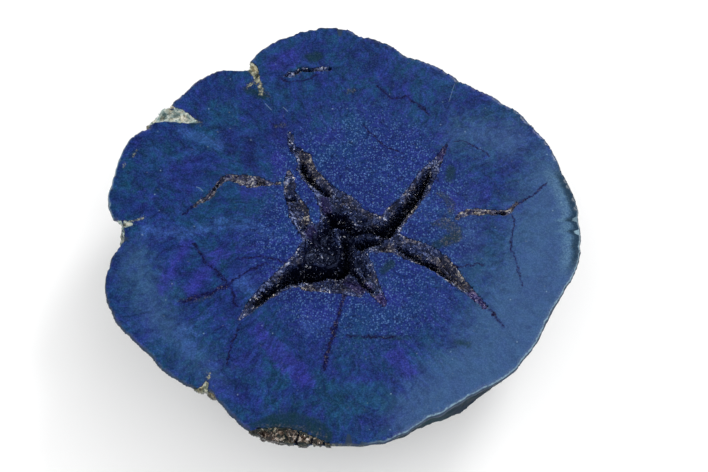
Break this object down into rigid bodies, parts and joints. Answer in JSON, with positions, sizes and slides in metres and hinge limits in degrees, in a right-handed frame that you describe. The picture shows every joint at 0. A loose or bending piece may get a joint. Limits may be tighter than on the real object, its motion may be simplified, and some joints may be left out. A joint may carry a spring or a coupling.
{
  "type": "azurite specimen",
  "caption": "Half nodule of blue azurite, sawn and polished on top, with a star-shaped crystal-lined hollow; a display and study piece that rests on its lumpy back.",
  "frame": {"origin": "under the middle of the face's outline, on the surface that the natural back rests on", "axes": "+Z out of the polished face, +X along the longest width of the face, +Y towards the lobed edge's far side"},
  "size_m": [0.0601, 0.0579, 0.017],
  "materials": {
    "azurite": "polished azurite, granular and speckled",
    "druse": "dark glittering azurite crystals",
    "vein_fill": "dull tan and grey-blue crystal grains",
    "host_rock": "pale dusty siltstone",
    "rust": "rough rust-brown iron crust"
  },
  "bodies": {
    "root": {"azurite_nodule": "azurite", "cavity_druse": "druse", "vein_druse_left": "vein_fill", "vein_druse_right": "vein_fill", "matrix_top_notch": "host_rock", "matrix_upper_left_notch": "host_rock", "matrix_left_notch": "host_rock", "matrix_lower_left_notch": "host_rock", "rusty_patch_front": "rust"}
  },
  "joints": []
}
